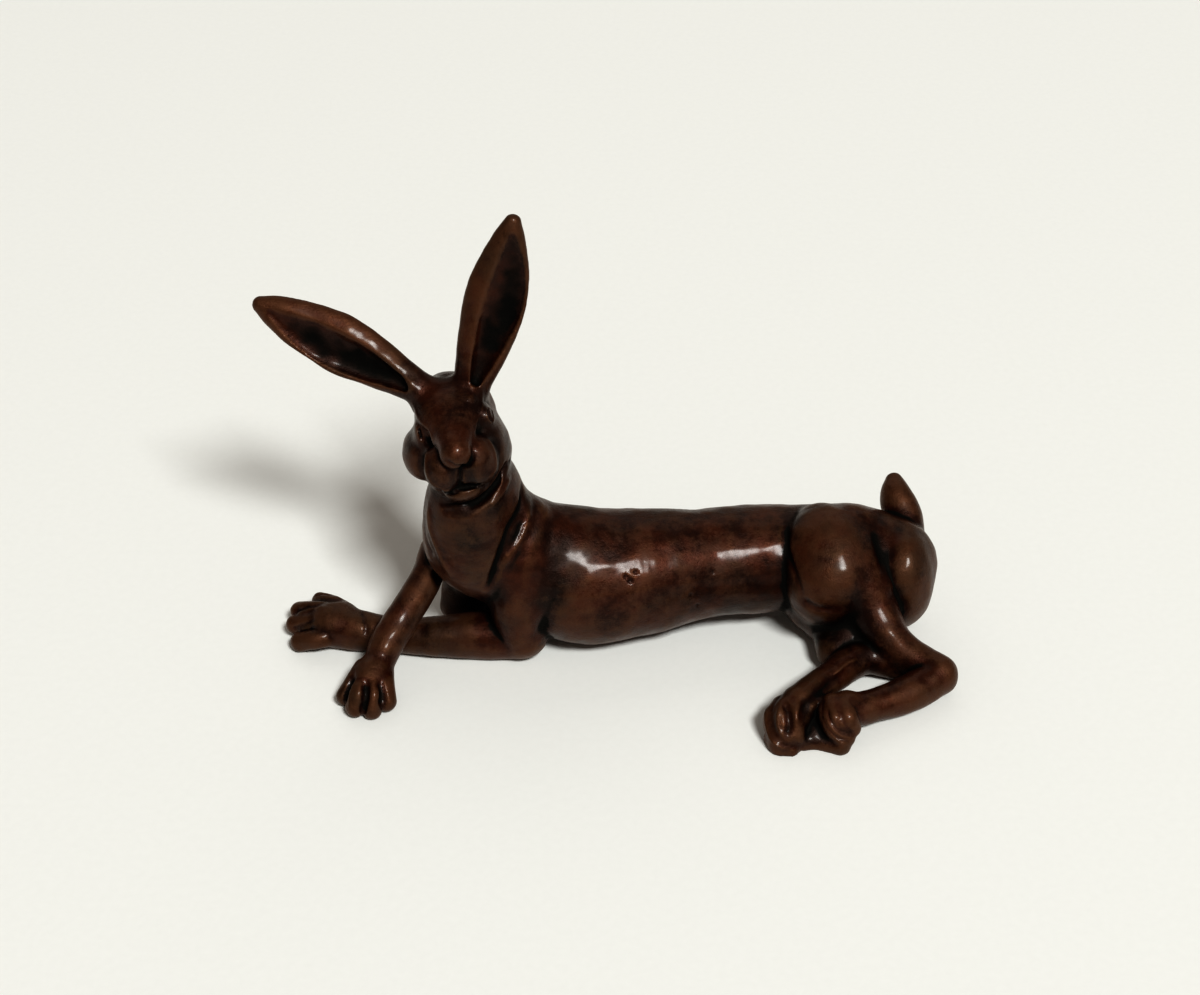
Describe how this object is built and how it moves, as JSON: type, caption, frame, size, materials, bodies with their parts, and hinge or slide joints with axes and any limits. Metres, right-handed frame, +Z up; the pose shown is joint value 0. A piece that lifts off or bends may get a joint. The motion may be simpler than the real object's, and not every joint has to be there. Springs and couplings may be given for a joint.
{
  "type": "hare sculpture",
  "caption": "Small solid bronze hare lying at rest, head turned to the side, long ears raised, forelegs crossed and hind legs drawn out to one side",
  "frame": {"origin": "the middle of the hare's bounding box, at the level of the surface it rests on", "axes": "+X along the body towards the rump, +Y away from the side the head faces, +Z up"},
  "size_m": [0.093, 0.041, 0.063],
  "materials": {
    "bronze": "cast bronze under a waxed dark brown patina"
  },
  "bodies": {
    "root": {"hare": "bronze"}
  },
  "joints": []
}
